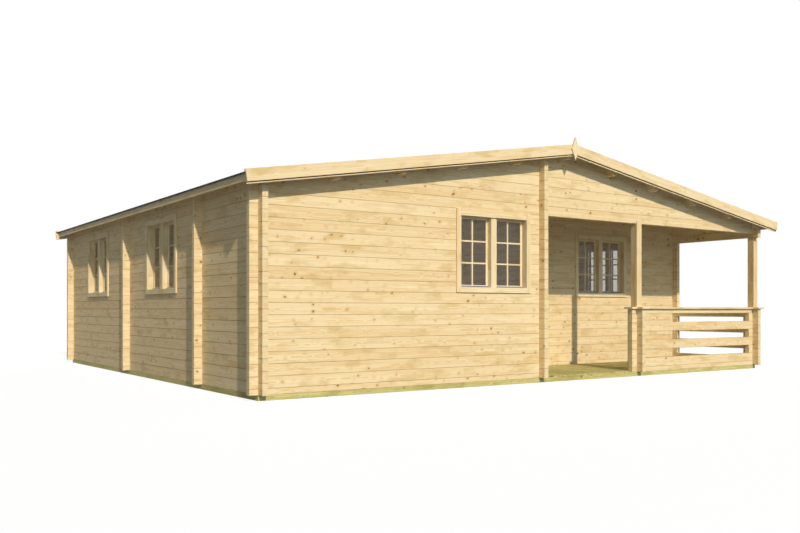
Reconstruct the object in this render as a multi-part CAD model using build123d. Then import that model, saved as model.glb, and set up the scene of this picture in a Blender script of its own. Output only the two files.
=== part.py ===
from build123d import *
import math
import os

# A log-built bungalow with a low gabled roof and a recessed veranda at the front right corner.
# Lengths are millimetres. The model is drawn from the front left corner of the walls
# (X along the front, Y to the back, Z up from the ground) and moved to the middle of the plan.

# Logs
log_height = 135.0
log_thick = 70.0
log_chamfer = 5.0
log_gap = 0.5
corner_reach = 105.0
side_courses = 17
eave_log_height = 113.0

# Plan
house_width = 9220.0
house_depth = 8190.0
hall_wall_at = 4185.0
cross_wall_at = 1640.0
rear_wall_at = 4630.0
entry_post_at = 6195.0

# Base and floors
beam_height = 62.0
beam_width = 110.0
joist_width = 45.0
joist_spacing = 1150.0
floor_thick = 26.0
deck_thick = 19.0
floor_clear = 5.0

# Roof
roof_pitch = 9.25
eave_overhang = 186.0
gable_overhang = 235.0
roof_board_thick = 27.0
felt_thick = 4.0
felt_drip = 20.0
felt_lip = 18.0
purlin_width = 60.0
purlin_height = 140.0
purlins_per_side = 4
barge_height = 136.0
barge_thick = 20.0
barge_lift = 50.0
barge_reach = 47.0
batten_thick = 20.0
barge_batten_height = 112.0
edge_batten_width = 44.0
eave_batten_height = 60.0
fascia_height = 94.0
fascia_thick = 18.0
finial_height = 313.0
finial_width = 138.0
finial_thick = 20.0
finial_drop = 67.0

# Windows and door
window_width = 1250.0
window_courses = 8
sill_course = 8
casing_lap = 10.0
casing_head_lap = 2.0
casing_foot_rise = 8.0
casing_side = 72.0
casing_head = 88.0
casing_foot = 71.0
casing_thick = 22.0
frame_clear = 4.0
frame_depth = 101.0
mullion_width = 94.0
sash_setback = 73.0
sash_rebate = 12.0
sash_stile = 43.0
sash_clear = 2.0
glass_thick = 8.0
glass_clear = 0.3
front_window_inset = 810.0
veranda_window_share = 0.6057
back_window_shares = [0.25, 0.75]
door_width = 960.0
door_courses = 15
door_share = 0.1747
door_thick = 44.0
door_clear = 3.0
door_stile = 110.0
door_panel_height = 900.0
doorway_width = 900.0
hall_doorway_share = 0.4812
rear_doorway_share = 0.555

# Veranda
post_width = 108.0
post_depth = 112.0
entry_post_shift = -12.0
corner_post_shift = 15.0
post_lip = 10.0
post_lip_height = 45.0
rail_courses = 7
handrail_width = 150.0
handrail_thick = 30.0
handrail_reach = 38.0

overrun = 400.0

# Worked out from the sizes above
half_log = log_height / 2
wall_base = beam_height + log_gap
right_wall_at = house_width - log_thick
back_wall_at = house_depth - log_thick
slope = math.tan(math.radians(roof_pitch))
ridge_x = house_width / 2
eave_z = wall_base + side_courses * log_height + eave_log_height
ridge_z = eave_z + ridge_x * slope
board_rise = roof_board_thick / math.cos(math.radians(roof_pitch))
felt_rise = felt_thick / math.cos(math.radians(roof_pitch))
purlin_step = ridge_x / (purlins_per_side + 1)
plate_course = side_courses - 1
gable_z = wall_base + half_log + plate_course * log_height
rail_top = wall_base + rail_courses * log_height
sill_z = wall_base + half_log + sill_course * log_height
window_height = window_courses * log_height
door_top = wall_base + half_log + door_courses * log_height

# Windows and doors keep their places between the walls beside them
veranda_left = hall_wall_at + log_thick
veranda_width = right_wall_at - veranda_left
front_window_at = hall_wall_at - front_window_inset
veranda_window_at = veranda_left + veranda_window_share * veranda_width
door_at = veranda_left + door_share * veranda_width
hall_doorway_at = log_thick + hall_doorway_share * (hall_wall_at - log_thick)
rear_doorway_at = log_thick + rear_doorway_share * (right_wall_at - log_thick)
living_middle = (cross_wall_at + log_thick + rear_wall_at) / 2
rear_middle = (rear_wall_at + log_thick + back_wall_at) / 2
left_window_ats = [living_middle, rear_middle]

os.makedirs("parts", exist_ok=True)


def box(x0, x1, y0, y1, z0, z1):
    """A block between two corners."""
    return Pos((x0 + x1) / 2, (y0 + y1) / 2, (z0 + z1) / 2) * Box(x1 - x0, y1 - y0, z1 - z0)


def prism_y(points, y0, y1):
    """An outline in X and Z, drawn out along Y."""
    face = Plane.XZ * make_face(Polyline(*points, close=True))
    return extrude(face, amount=y1 - y0, dir=(0, 1, 0)).moved(Pos(0, y0, 0))


def cut(body, tools):
    """The body less those tools whose boxes reach it."""
    reach = body.bounding_box()
    near = []
    for tool in tools:
        other = tool.bounding_box()
        apart = (
            other.min.X >= reach.max.X or other.max.X <= reach.min.X
            or other.min.Y >= reach.max.Y or other.max.Y <= reach.min.Y
            or other.min.Z >= reach.max.Z or other.max.Z <= reach.min.Z
        )
        if not apart:
            near.append(tool)
    if near:
        body = body - near
    return list(body.solids())


def keep(name, solids):
    """Write one named piece, moved from the wall corner to the middle of the plan."""
    whole = Compound(children=list(solids))
    export_step(Pos(-house_width / 2, -house_depth / 2, 0) * whole, f"parts/{name}.step")


def roof_z(x):
    """Height of the underside of the roof boards."""
    return eave_z + min(x, house_width - x) * slope


# Log courses. Walls along Y start with a whole log, walls along X with a half log, so the courses
# lap at the crossings: each log has a saddle notch of half its height on its underside.
def course_z(course):
    """Underside of a course in a wall along Y; a wall along X lies half a log higher."""
    return wall_base + course * log_height


def log_section(height):
    """Log section with eased lower edges, which leave a groove at each joint."""
    side = log_thick / 2
    points = [
        (-side + log_chamfer, 0),
        (side - log_chamfer, 0),
        (side, log_chamfer),
        (side, height),
        (-side, height),
        (-side, log_chamfer),
    ]
    return make_face(Polyline(*points, close=True))


def log_x(start, stop, y, z, height):
    """A log along X with its front face at y."""
    face = Plane((start, y + log_thick / 2, z), x_dir=(0, 1, 0), z_dir=(1, 0, 0)) * log_section(height)
    return extrude(face, amount=stop - start)


def log_y(start, stop, x, z, height):
    """A log along Y with its left face at x."""
    face = Plane((x + log_thick / 2, start, z), x_dir=(-1, 0, 0), z_dir=(0, 1, 0)) * log_section(height)
    return extrude(face, amount=stop - start)


def saddle_x(x, y, z):
    """Notch under a log along X where a wall along Y passes at x."""
    return box(
        x - log_gap,
        x + log_thick + log_gap,
        y - overrun,
        y + log_thick + overrun,
        z - overrun,
        z + half_log,
    )


def saddle_y(x, y, z):
    """Notch under a log along Y where a wall along X passes at y."""
    return box(
        x - overrun,
        x + log_thick + overrun,
        y - log_gap,
        y + log_thick + log_gap,
        z - overrun,
        z + half_log,
    )


def courses_x(y, courses, run, crossings, tools):
    """Logs along X: run gives each course's ends, crossings lists (x, first, last) of the walls along Y."""
    solids = []
    for course in courses:
        z = course_z(course) + half_log
        height = log_height - log_gap
        if course < 0:
            z = wall_base
            height = half_log - log_gap
        start, stop = run(course)
        notches = []
        for x, first, last in crossings:
            if first <= course <= last:
                notches.append(saddle_x(x, y, z))
        solids += cut(log_x(start, stop, y, z, height), notches + tools)
    return solids


def courses_y(x, courses, run, crossings, tools, top_course=None):
    """Logs along Y: crossings lists (y, first, last) of the walls along X; the top log meets the roof."""
    solids = []
    for course in courses:
        z = course_z(course)
        height = log_height - log_gap
        if course == top_course:
            height = log_height + overrun
        start, stop = run(course)
        notches = []
        for y, first, last in crossings:
            if first <= course - 1 <= last:
                notches.append(saddle_y(x, y, z))
        solids += cut(log_y(start, stop, x, z, height), notches + tools)
    return solids


# Cutters that many logs share
far = eave_overhang + overrun
roof_cutter = prism_y(
    [
        (-far, roof_z(-far) - log_gap),
        (ridge_x, ridge_z - log_gap),
        (house_width + far, roof_z(house_width + far) - log_gap),
        (house_width + far, ridge_z + overrun),
        (-far, ridge_z + overrun),
    ],
    -overrun,
    house_depth + overrun,
)
purlin_xs = [ridge_x + step * purlin_step for step in range(-purlins_per_side, purlins_per_side + 1)]
purlin_cutters = []
for purlin_x in purlin_xs:
    foot = roof_z(purlin_x) - purlin_height
    purlin_cutters.append(
        box(
            purlin_x - purlin_width / 2 - log_gap,
            purlin_x + purlin_width / 2 + log_gap,
            -overrun,
            house_depth + overrun,
            foot - log_gap,
            ridge_z + overrun,
        )
    )
roof_tools = [roof_cutter] + purlin_cutters


def window_hole_x(centre, y):
    """Hole for a window in a wall along X."""
    half = window_width / 2
    return box(centre - half, centre + half, y - overrun, y + overrun, sill_z, sill_z + window_height)


def window_hole_y(centre, x):
    """Hole for a window in a wall along Y."""
    half = window_width / 2
    return box(x - overrun, x + overrun, centre - half, centre + half, sill_z, sill_z + window_height)


def door_hole(centre, width, y):
    """Hole for a door in a wall along X, from the floor beams up."""
    half = width / 2
    return box(centre - half, centre + half, y - overrun, y + overrun, wall_base - overrun, door_top)


# Log walls
gable_courses = range(side_courses, math.ceil((ridge_z - wall_base - half_log) / log_height))
low_courses = range(-1, side_courses)
hall_top = math.ceil((roof_z(hall_wall_at + log_thick) - wall_base) / log_height) - 1
left_crossing = (0, 0, plate_course)
hall_crossing = (hall_wall_at, 0, hall_top)
right_crossing = (right_wall_at, 0, plate_course)
back_window_ats = [share * house_width for share in back_window_shares]


def full_width(course):
    return -corner_reach, house_width + corner_reach


def between_plates(course):
    return log_thick + log_gap, right_wall_at - log_gap


def front_room_width(course):
    return -corner_reach, hall_wall_at + log_thick + corner_reach


def full_depth(course):
    return -corner_reach, house_depth + corner_reach


def hall_depth(course):
    return -corner_reach, cross_wall_at + log_thick + corner_reach


def right_depth(course):
    if course < plate_course:
        return cross_wall_at - corner_reach, house_depth + corner_reach
    return full_depth(course)


def gable_wall(y, crossings):
    """The courses of a wall along X that stand above the side walls."""
    return courses_x(y, gable_courses, between_plates, crossings, roof_tools)


front_hole = window_hole_x(front_window_at, 0)
front_low = range(-1, plate_course)
front_logs = courses_x(0, front_low, front_room_width, [left_crossing, hall_crossing], [front_hole])
keep("front_wall", front_logs)
plate_logs = courses_x(
    0, [plate_course], full_width, [left_crossing, hall_crossing, right_crossing], roof_tools
)
keep("front_gable", plate_logs + gable_wall(0, [hall_crossing]))

cross_tools = [
    window_hole_x(veranda_window_at, cross_wall_at),
    door_hole(door_at, door_width, cross_wall_at),
    door_hole(hall_doorway_at, doorway_width, cross_wall_at),
]
cross_low = courses_x(
    cross_wall_at,
    low_courses,
    full_width,
    [left_crossing, hall_crossing, right_crossing],
    cross_tools + roof_tools,
)
keep("cross_wall", cross_low + gable_wall(cross_wall_at, [hall_crossing]))

rear_tools = [door_hole(rear_doorway_at, doorway_width, rear_wall_at)] + roof_tools
rear_low = courses_x(rear_wall_at, low_courses, full_width, [left_crossing, right_crossing], rear_tools)
keep("rear_partition", rear_low + gable_wall(rear_wall_at, []))

back_tools = [window_hole_x(centre, back_wall_at) for centre in back_window_ats] + roof_tools
back_logs = courses_x(back_wall_at, low_courses, full_width, [left_crossing, right_crossing], back_tools)
keep("back_wall", back_logs)
keep("back_gable", gable_wall(back_wall_at, []))

side_levels = range(side_courses + 1)
inner_lines = [
    (cross_wall_at, -1, plate_course),
    (rear_wall_at, -1, plate_course),
    (back_wall_at, -1, plate_course),
]
left_holes = [window_hole_y(centre, 0) for centre in left_window_ats]
left_logs = courses_y(
    0,
    side_levels,
    full_depth,
    [(0, -1, plate_course)] + inner_lines,
    left_holes + [roof_cutter],
    side_courses,
)
keep("left_wall", left_logs)
right_holes = [window_hole_y(centre, right_wall_at) for centre in left_window_ats]
right_logs = courses_y(
    right_wall_at,
    side_levels,
    right_depth,
    [(0, plate_course, plate_course)] + inner_lines,
    right_holes + [roof_cutter],
    side_courses,
)
keep("right_wall", right_logs)
hall_lines = [(0, -1, hall_top), (cross_wall_at, -1, hall_top)]
hall_courses = range(hall_top + 1)
keep("hall_wall", courses_y(hall_wall_at, hall_courses, hall_depth, hall_lines, [roof_cutter], hall_top))

# Base beams, joists and floors
beam_ys = [
    (0, beam_width),
    (cross_wall_at + (log_thick - beam_width) / 2, cross_wall_at + (log_thick + beam_width) / 2),
    (rear_wall_at + (log_thick - beam_width) / 2, rear_wall_at + (log_thick + beam_width) / 2),
    (house_depth - beam_width, house_depth),
]
beams = [box(0, house_width, y0, y1, 0, beam_height) for y0, y1 in beam_ys]
joists = []
bays = [(beam_ys[i][1] + log_gap, beam_ys[i + 1][0] - log_gap) for i in range(len(beam_ys) - 1)]
for bay, (y0, y1) in enumerate(bays):
    beams.append(box(0, beam_width, y0, y1, 0, beam_height))
    beams.append(box(house_width - beam_width, house_width, y0, y1, 0, beam_height))
    joist_count = math.floor((house_width - beam_width) / joist_spacing)
    for number in range(1, joist_count + 1):
        x = number * house_width / (joist_count + 1)
        joists.append(box(x - joist_width / 2, x + joist_width / 2, y0, y1, 0, beam_height))
hall_beam = hall_wall_at + log_thick / 2
hall_bay = bays[0]
beams.append(
    box(hall_beam - beam_width / 2, hall_beam + beam_width / 2, hall_bay[0], hall_bay[1], 0, beam_height)
)
clear_of_hall = [
    joist for joist in joists
    if joist.bounding_box().max.X < hall_beam - beam_width / 2
    or joist.bounding_box().min.X > hall_beam + beam_width / 2
    or joist.bounding_box().min.Y > hall_bay[1]
]
keep("base_beams", beams)
keep("floor_joists", clear_of_hall)

floor_top = beam_height + floor_thick
inner_left = log_thick + floor_clear
inner_right = right_wall_at - floor_clear
hall_end = box(
    hall_wall_at - floor_clear,
    hall_wall_at + log_thick + floor_clear,
    cross_wall_at,
    cross_wall_at + log_thick + corner_reach + floor_clear,
    0,
    floor_top + overrun,
)
front_floor = box(
    inner_left,
    hall_wall_at - floor_clear,
    log_thick + floor_clear,
    cross_wall_at - floor_clear,
    beam_height,
    floor_top,
)
living_floor = box(
    inner_left,
    inner_right,
    cross_wall_at + log_thick + floor_clear,
    rear_wall_at - floor_clear,
    beam_height,
    floor_top,
)
rear_floor = box(
    inner_left,
    inner_right,
    rear_wall_at + log_thick + floor_clear,
    back_wall_at - floor_clear,
    beam_height,
    floor_top,
)
keep("house_floor", [front_floor] + cut(living_floor, [hall_end]) + [rear_floor])

deck_top = beam_height + deck_thick
deck = box(veranda_left + floor_clear, inner_right, 0, cross_wall_at - floor_clear, beam_height, deck_top)
deck_cuts = [
    box(
        hall_wall_at,
        hall_wall_at + log_thick + corner_reach + floor_clear,
        -overrun,
        log_thick + floor_clear,
        0,
        deck_top + overrun,
    ),
    box(
        entry_post_at - corner_reach - floor_clear,
        house_width,
        -overrun,
        log_thick + floor_clear,
        0,
        deck_top + overrun,
    ),
    box(
        entry_post_at - floor_clear,
        entry_post_at + log_thick + floor_clear,
        -overrun,
        log_thick + corner_reach + floor_clear,
        0,
        deck_top + overrun,
    ),
]
keep("veranda_floor", cut(deck, deck_cuts))

# Veranda rails: every second course is left open between the stacks of log ends
rail_line = (0, -1, rail_courses - 2)
post_stack = (entry_post_at, 0, rail_courses - 1)
corner_stack = (right_wall_at, 0, rail_courses - 1)
cap_cutter = box(
    entry_post_at - overrun,
    house_width + overrun,
    -overrun,
    house_depth,
    rail_top - log_gap,
    rail_top + overrun,
)
front_rails = []
for course in range(-1, rail_courses):
    spans = [(entry_post_at - corner_reach, house_width + corner_reach)]
    if course % 2 == 1 and 0 < course < rail_courses - 1:
        spans = [
            (entry_post_at - corner_reach, entry_post_at + log_thick + corner_reach),
            (right_wall_at - corner_reach, house_width + corner_reach),
        ]
    for span in spans:
        front_rails += courses_x(0, [course], lambda at: span, [post_stack, corner_stack], [cap_cutter])
keep("front_balustrade", front_rails)

side_rails = []
for course in range(rail_courses):
    span = (-corner_reach, cross_wall_at - corner_reach - log_gap)
    if course % 2 == 1:
        span = (-corner_reach, log_thick + corner_reach)
    side_rails += courses_y(right_wall_at, [course], lambda at: span, [rail_line], [])
keep("side_balustrade", side_rails)
stack_span = (-corner_reach, log_thick + corner_reach)
stack_courses = range(rail_courses)
keep("post_stack", courses_y(entry_post_at, stack_courses, lambda at: stack_span, [rail_line], []))

# Handrail boards on the rails, with short noses where they pass the stacks
rail_y = log_thick / 2
side_x = right_wall_at + log_thick / 2
stack_x = entry_post_at + log_thick / 2
cap_half = handrail_width / 2
cap_top = rail_top + handrail_thick
front_cap = box(
    entry_post_at - corner_reach - handrail_reach,
    house_width + corner_reach + handrail_reach,
    rail_y - cap_half,
    rail_y + cap_half,
    rail_top,
    cap_top,
)
caps = [front_cap]
nose_ends = [
    (side_x, cross_wall_at - corner_reach - log_gap),
    (stack_x, log_thick + corner_reach + handrail_reach),
]
for x, back_end in nose_ends:
    nose_front = -corner_reach - handrail_reach
    caps.append(box(x - cap_half, x + cap_half, nose_front, rail_y - cap_half - log_gap, rail_top, cap_top))
    caps.append(box(x - cap_half, x + cap_half, rail_y + cap_half + log_gap, back_end, rail_top, cap_top))
keep("handrails", caps)

# Posts stand on the handrail and carry the front plate log, with a thin lip in front of it
def post(x):
    """A post with a seat for the plate log."""
    body = box(x, x + post_width, -post_lip, post_depth - post_lip, cap_top, gable_z + post_lip_height)
    seat = box(x - overrun, x + overrun, -log_gap, overrun, gable_z - log_gap, gable_z + overrun)
    return cut(body, [seat])


side_seat = box(
    right_wall_at - overrun,
    house_width + log_gap,
    -overrun,
    overrun,
    course_z(plate_course) - log_gap,
    gable_z + overrun,
)
keep("entry_post", post(entry_post_at + entry_post_shift))
corner_post = []
for solid in post(right_wall_at + corner_post_shift):
    corner_post += cut(solid, [side_seat])
keep("corner_post", corner_post)


# Windows: a frame with an outer casing and a mullion, two sashes behind it, and their glass.
# They are drawn for a wall along X with its outer face at Y = 0, and turned to face each way.
def light_ends():
    """Left and right ends of the two lights, from the window's middle."""
    reach = window_width / 2 + casing_lap - casing_side
    return [(-reach, -mullion_width / 2), (mullion_width / 2, reach)]


light_foot = casing_foot + casing_foot_rise
light_top = window_height + casing_head_lap - casing_head


def window_frame():
    half = window_width / 2
    frame_top = window_height - frame_clear
    body = box(-half + frame_clear, half - frame_clear, 0, frame_depth, log_gap, frame_top)
    casing = box(
        -half - casing_lap,
        half + casing_lap,
        -casing_thick,
        -log_gap,
        casing_foot_rise,
        window_height + casing_head_lap,
    )
    neck = box(-half + frame_clear, half - frame_clear, -log_gap, 0, casing_foot_rise, frame_top)
    opening = box(
        -half - casing_lap + casing_side,
        half + casing_lap - casing_side,
        -overrun,
        0,
        light_foot,
        light_top,
    )
    frame = body + [casing, neck] - opening
    for x0, x1 in light_ends():
        reveal = box(x0, x1, -overrun, overrun, light_foot, light_top)
        rebate = box(
            x0 - sash_rebate,
            x1 + sash_rebate,
            sash_setback,
            overrun,
            light_foot - sash_rebate,
            light_top + sash_rebate,
        )
        frame = frame - [reveal, rebate]
    return list(frame.solids())


def sash_box(x0, x1, inset, y0, y1):
    """A block inside the rebate of one light, inset all round."""
    low = light_foot - sash_rebate + inset
    high = light_top + sash_rebate - inset
    return box(x0 - sash_rebate + inset, x1 + sash_rebate - inset, y0, y1, low, high)


def window_sashes():
    solids = []
    for x0, x1 in light_ends():
        body = sash_box(x0, x1, sash_clear, sash_setback + log_gap, frame_depth)
        solids += cut(body, [sash_box(x0, x1, sash_stile, -overrun, overrun)])
    return solids


def window_glass():
    middle = (sash_setback + frame_depth) / 2
    panes = []
    for x0, x1 in light_ends():
        inset = sash_stile + glass_clear
        panes.append(sash_box(x0, x1, inset, middle - glass_thick / 2, middle + glass_thick / 2))
    return panes


def place_windows(name, places):
    """Frames, sashes and glass of the windows of one wall."""
    for piece, make in [("frame", window_frame), ("sashes", window_sashes), ("glass", window_glass)]:
        solids = []
        for place in places:
            for solid in make():
                solids.append(place * solid)
        keep(f"{name}_window_{piece}", solids)


place_windows("front", [Pos(front_window_at, 0, sill_z)])
place_windows("veranda", [Pos(veranda_window_at, cross_wall_at, sill_z)])
place_windows("left", [Pos(0, centre, sill_z) * Rot(0, 0, -90) for centre in left_window_ats])
place_windows("right", [Pos(house_width, centre, sill_z) * Rot(0, 0, 90) for centre in left_window_ats])
place_windows("back", [Pos(centre, house_depth, sill_z) * Rot(0, 0, 180) for centre in back_window_ats])

# Entrance door: frame with casing, a leaf with a lower panel and its glass
door_left = door_at - door_width / 2
door_right = door_at + door_width / 2
door_face = cross_wall_at
light_left = door_left - casing_lap + casing_side
light_right = door_right + casing_lap - casing_side
light_head = door_top + casing_head_lap - casing_head
sill_top = floor_top + floor_clear
door_casing = box(
    door_left - casing_lap,
    door_right + casing_lap,
    door_face - casing_thick,
    door_face - log_gap,
    deck_top + log_gap,
    door_top + casing_head_lap,
)
door_body = box(
    door_left + frame_clear,
    door_right - frame_clear,
    door_face - log_gap,
    door_face + log_thick,
    wall_base,
    door_top - frame_clear,
)
door_reveal = box(light_left, light_right, door_face - overrun, door_face + overrun, sill_top, light_head)
door_rebate = box(
    light_left - sash_rebate,
    light_right + sash_rebate,
    door_face + log_thick - door_thick,
    door_face + overrun,
    sill_top,
    light_head + sash_rebate,
)
casing_gap = box(
    light_left, light_right, door_face - overrun, door_face - log_gap, deck_top - overrun, light_head
)
keep("door_frame", list((door_body + (door_casing - casing_gap) - [door_reveal, door_rebate]).solids()))

leaf_left = light_left - sash_rebate + door_clear
leaf_right = light_right + sash_rebate - door_clear
leaf_top = light_head + sash_rebate - door_clear
leaf_front = door_face + log_thick - door_thick + log_gap
leaf_back = door_face + log_thick
leaf_foot = sill_top + log_gap
leaf = box(leaf_left, leaf_right, leaf_front, leaf_back, leaf_foot, leaf_top)
pane_foot = leaf_foot + door_panel_height
pane_hole = box(
    leaf_left + door_stile,
    leaf_right - door_stile,
    leaf_front - overrun,
    leaf_back + overrun,
    pane_foot,
    leaf_top - door_stile,
)
keep("door_leaf", cut(leaf, [pane_hole]))
leaf_middle = (leaf_front + leaf_back) / 2
keep(
    "door_glass",
    [
        box(
            leaf_left + door_stile + glass_clear,
            leaf_right - door_stile - glass_clear,
            leaf_middle - glass_thick / 2,
            leaf_middle + glass_thick / 2,
            pane_foot + glass_clear,
            leaf_top - door_stile - glass_clear,
        )
    ],
)

# Roof: purlins, boards, felt, and the boards round its edges
batten_back = -gable_overhang + batten_thick
purlins = []
for purlin_x in purlin_xs:
    left = purlin_x - purlin_width / 2
    right = purlin_x + purlin_width / 2
    foot = roof_z(purlin_x) - purlin_height
    outline = [(left, foot), (right, foot), (right, roof_z(right) - log_gap)]
    if left < ridge_x < right:
        outline.append((ridge_x, ridge_z - log_gap))
    outline.append((left, roof_z(left) - log_gap))
    purlins.append(prism_y(outline, batten_back + log_gap, house_depth - batten_back - log_gap))
keep("purlins", purlins)


def mirrored(solid):
    """The same piece on the other slope."""
    return mirror(solid, Plane((ridge_x, 0, 0), x_dir=(0, 1, 0), z_dir=(1, 0, 0)))


def slope_piece(start, low, high, y0, y1):
    """A piece along the left slope, from low to high above the underside of the roof boards."""
    stop = ridge_x - log_gap / 2
    outline = [
        (start, roof_z(start) + low),
        (stop, roof_z(stop) + low),
        (stop, roof_z(stop) + high),
        (start, roof_z(start) + high),
    ]
    return prism_y(outline, y0, y1)


def both_slopes(solid):
    return [solid, mirrored(solid)]


roof_front = -gable_overhang
roof_back = house_depth + gable_overhang
eave_edge = -eave_overhang
fascia_edge = eave_edge - log_gap - fascia_thick
keep("roof_boards", both_slopes(slope_piece(eave_edge, 0, board_rise, roof_front, roof_back)))
felt_low = board_rise + log_gap
felt_top = felt_low + felt_rise
felt_edge = fascia_edge - felt_drip
lip_inner = felt_edge + felt_thick
felt_end = ridge_x - log_gap / 2
felt = prism_y(
    [
        (felt_edge, roof_z(felt_edge) + felt_top),
        (felt_edge, roof_z(felt_edge) + felt_top - felt_lip),
        (lip_inner, roof_z(felt_edge) + felt_top - felt_lip),
        (lip_inner, roof_z(lip_inner) + felt_low),
        (felt_end, roof_z(felt_end) + felt_low),
        (felt_end, roof_z(felt_end) + felt_top),
    ],
    roof_front,
    roof_back,
)
keep("roof_felt", both_slopes(felt))

fascia_top = roof_z(eave_edge) + board_rise - fascia_thick * slope
fascia = box(
    fascia_edge,
    eave_edge - log_gap,
    batten_back + log_gap,
    house_depth - batten_back - log_gap,
    fascia_top - fascia_height,
    fascia_top,
)
eave_batten = box(
    eave_edge,
    eave_edge + batten_thick,
    batten_back + log_gap,
    house_depth - batten_back - log_gap,
    roof_z(eave_edge) - eave_batten_height,
    roof_z(eave_edge) - log_gap,
)
keep("eave_boards", both_slopes(fascia) + both_slopes(eave_batten))

barge_rise = barge_height / math.cos(math.radians(roof_pitch))
barge_end = fascia_edge - barge_reach
barge_lean = barge_height / 2 * math.sin(math.radians(roof_pitch))
barge_foot = barge_end + barge_lean
barge_head = barge_end - barge_lean
barge_stop = ridge_x - log_gap / 2
barge = prism_y(
    [
        (barge_foot, roof_z(barge_foot) + barge_lift - barge_rise),
        (barge_stop, roof_z(barge_stop) + barge_lift - barge_rise),
        (barge_stop, roof_z(barge_stop) + barge_lift),
        (barge_head, roof_z(barge_head) + barge_lift),
    ],
    0,
    barge_thick,
)
barge_batten = slope_piece(barge_foot, -barge_batten_height, -log_gap, 0, batten_thick)
edge_batten = slope_piece(barge_end, felt_top + log_gap, barge_lift, 0, edge_batten_width)
finial_middle = ridge_z + barge_lift - finial_drop
finial = prism_y(
    [
        (ridge_x, finial_middle - finial_height / 2),
        (ridge_x + finial_width / 2, finial_middle),
        (ridge_x, finial_middle + finial_height / 2),
        (ridge_x - finial_width / 2, finial_middle),
    ],
    0,
    finial_thick,
)
barge_front = roof_front - log_gap - barge_thick
barge_back = roof_back + log_gap
keep("front_bargeboards", both_slopes(Pos(0, barge_front, 0) * barge))
keep("back_bargeboards", both_slopes(Pos(0, barge_back, 0) * barge))
battens = both_slopes(Pos(0, roof_front, 0) * barge_batten)
battens += both_slopes(Pos(0, roof_back - batten_thick, 0) * barge_batten)
battens += both_slopes(Pos(0, roof_front, 0) * edge_batten)
battens += both_slopes(Pos(0, roof_back - edge_batten_width, 0) * edge_batten)
keep("barge_battens", battens)
finial_front = barge_front - log_gap - finial_thick
finial_back = barge_back + barge_thick + log_gap
keep("finials", [Pos(0, finial_front, 0) * finial, Pos(0, finial_back, 0) * finial])
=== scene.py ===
import math

import bpy
import numpy as np
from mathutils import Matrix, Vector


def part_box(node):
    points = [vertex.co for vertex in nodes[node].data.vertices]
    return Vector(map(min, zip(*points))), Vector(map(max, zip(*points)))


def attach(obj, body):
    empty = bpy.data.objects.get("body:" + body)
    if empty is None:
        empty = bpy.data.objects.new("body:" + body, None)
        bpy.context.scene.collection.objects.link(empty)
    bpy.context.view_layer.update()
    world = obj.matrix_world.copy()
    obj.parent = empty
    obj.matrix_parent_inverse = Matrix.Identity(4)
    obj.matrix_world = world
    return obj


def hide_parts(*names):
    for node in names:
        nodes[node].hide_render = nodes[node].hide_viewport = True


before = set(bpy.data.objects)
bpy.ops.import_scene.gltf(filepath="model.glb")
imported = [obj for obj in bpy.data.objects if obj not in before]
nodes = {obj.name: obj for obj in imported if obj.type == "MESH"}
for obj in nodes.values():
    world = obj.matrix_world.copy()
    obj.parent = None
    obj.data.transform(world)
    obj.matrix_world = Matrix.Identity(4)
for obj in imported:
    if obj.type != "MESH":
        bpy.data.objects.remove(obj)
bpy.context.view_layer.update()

scene = bpy.context.scene
scene.view_settings.view_transform = "Standard"
# The house is measured from the front left corner of its walls
corner = np.array(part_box("base_beams")[0])
houseSize = np.array(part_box("base_beams")[1]) - corner
print("frame:", len(nodes), "pieces from the model")


# Screen colour, 0 to 255, as linear light
def tint(red, green, blue):
    return tuple(((c / 255 + 0.055) / 1.055) ** 2.4 for c in (red, green, blue)) + (1.0,)


# One value in a material: sums and products of values add their Math nodes
class Flow:
    def __init__(self, tree, node=None, output=0):
        self.tree = tree
        self.node = node
        self.socket = node.outputs[output] if node else None

    def make(self, kind, settings, inputs, output=0):
        node = self.tree.nodes.new(kind)
        for key, value in settings.items():
            setattr(node, key, value)
        for key, value in inputs.items():
            if isinstance(value, Flow):
                self.tree.links.new(value.socket, node.inputs[key])
            else:
                node.inputs[key].default_value = value
        return Flow(self.tree, node, output)

    def pick(self, output):
        return Flow(self.tree, self.node, output)

    def math(self, operation, first, second=0.0, clamp=False):
        return self.make("ShaderNodeMath", {"operation": operation, "use_clamp": clamp}, {0: first, 1: second})

    def __add__(self, other):
        return self.math("ADD", self, other)

    def __sub__(self, other):
        return self.math("SUBTRACT", self, other)

    def __rsub__(self, other):
        return self.math("SUBTRACT", other, self)

    def __mul__(self, other):
        return self.math("MULTIPLY", self, other)

    def __truediv__(self, other):
        return self.math("DIVIDE", self, other)

    def __pow__(self, other):
        return self.math("POWER", self, other)

    def __rpow__(self, other):
        return self.math("POWER", other, self)

    __radd__ = __add__
    __rmul__ = __mul__

    def clamped(self):
        return self.math("ADD", self, 0.0, True)

    # Nothing up to start, then rising to one
    def above(self, start, steep):
        return ((self - start) * steep).clamped()

    def axes(self):
        parts = self.make("ShaderNodeSeparateXYZ", {}, {0: self})
        return parts.pick("X"), parts.pick("Y"), parts.pick("Z")

    def vector(self, x, y, z):
        return self.make("ShaderNodeCombineXYZ", {}, {"X": x, "Y": y, "Z": z})

    def noise(self, place, scale, detail=2.0):
        return self.make("ShaderNodeTexNoise", {}, {"Vector": place, "Scale": scale, "Detail": detail})

    def blend(self, factor, first, second, mode="MIX"):
        return self.make("ShaderNodeMix", {"data_type": "RGBA", "blend_type": mode},
                         {0: factor, 6: first, 7: second}, 2)


# A new material; plain holds the values that are the same all over it
def newFinish(name, plain):
    finish = bpy.data.materials.new(name)
    finish.use_nodes = True
    shader = finish.node_tree.nodes["Principled BSDF"]
    for key, value in plain.items():
        shader.inputs[key].default_value = value
    return finish, Flow(finish.node_tree), shader


def feed(flow, shader, links):
    for key, value in links.items():
        flow.tree.links.new(value.socket, shader.inputs[key])


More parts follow.
